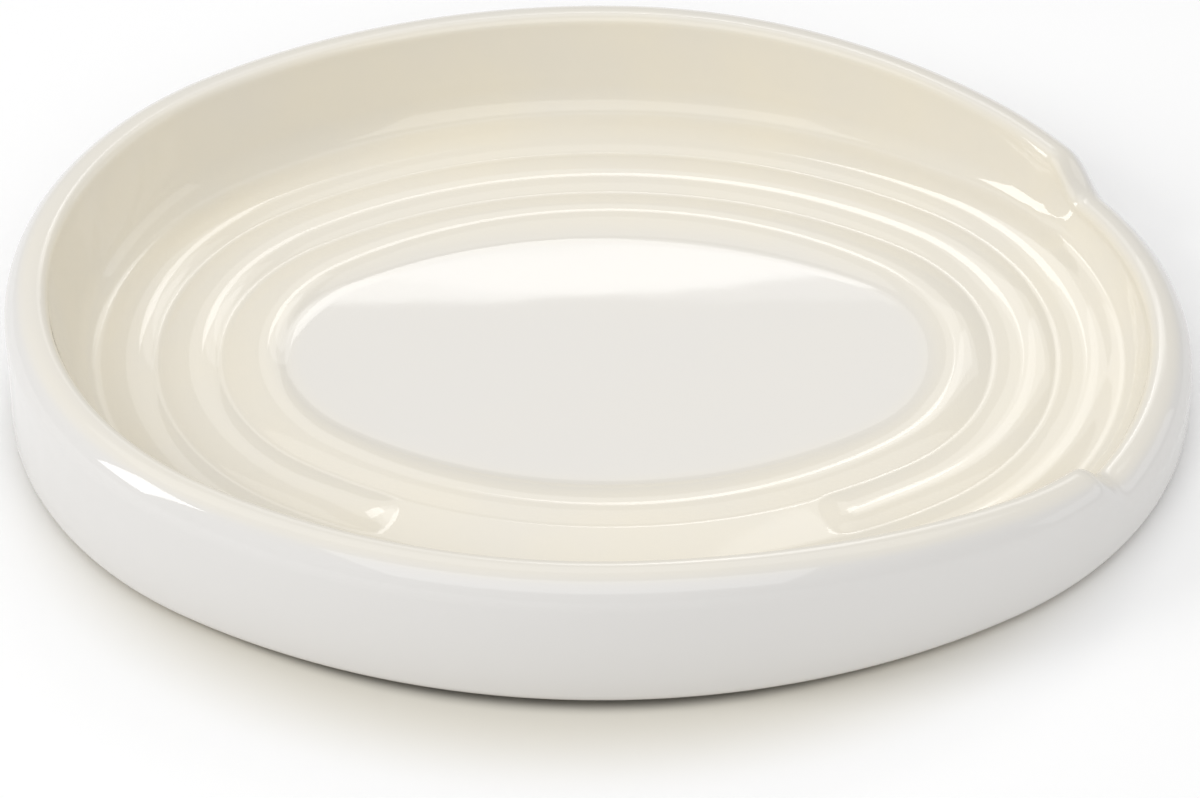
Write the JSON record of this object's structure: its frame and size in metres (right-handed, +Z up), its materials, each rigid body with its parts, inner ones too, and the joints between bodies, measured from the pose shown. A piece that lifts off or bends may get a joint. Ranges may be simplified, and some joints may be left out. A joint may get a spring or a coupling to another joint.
{
  "type": "spoon rest",
  "caption": "Oval glazed stoneware spoon rest: a shallow dish with raised rings round a flat middle and a rim that falls to a lowered lip for the spoon's handle.",
  "frame": {"origin": "middle of the foot's plane, under the middle of the oval", "axes": "+X along the dish towards the lowered lip, +Y across it, +Z up"},
  "size_m": [0.155, 0.121, 0.021],
  "materials": {
    "stoneware": "bare fired clay, fine and slightly rough, seen only on the foot ring",
    "gloss_glaze": "warm off-white gloss glaze, creamier where it lies thick in the creases",
    "underside_glaze": "the same off-white glaze, thinner and softer in gloss under the dish"
  },
  "bodies": {
    "root": {"stoneware_body": "stoneware", "glaze_coat": "gloss_glaze", "underside_glaze": "underside_glaze"}
  },
  "joints": []
}
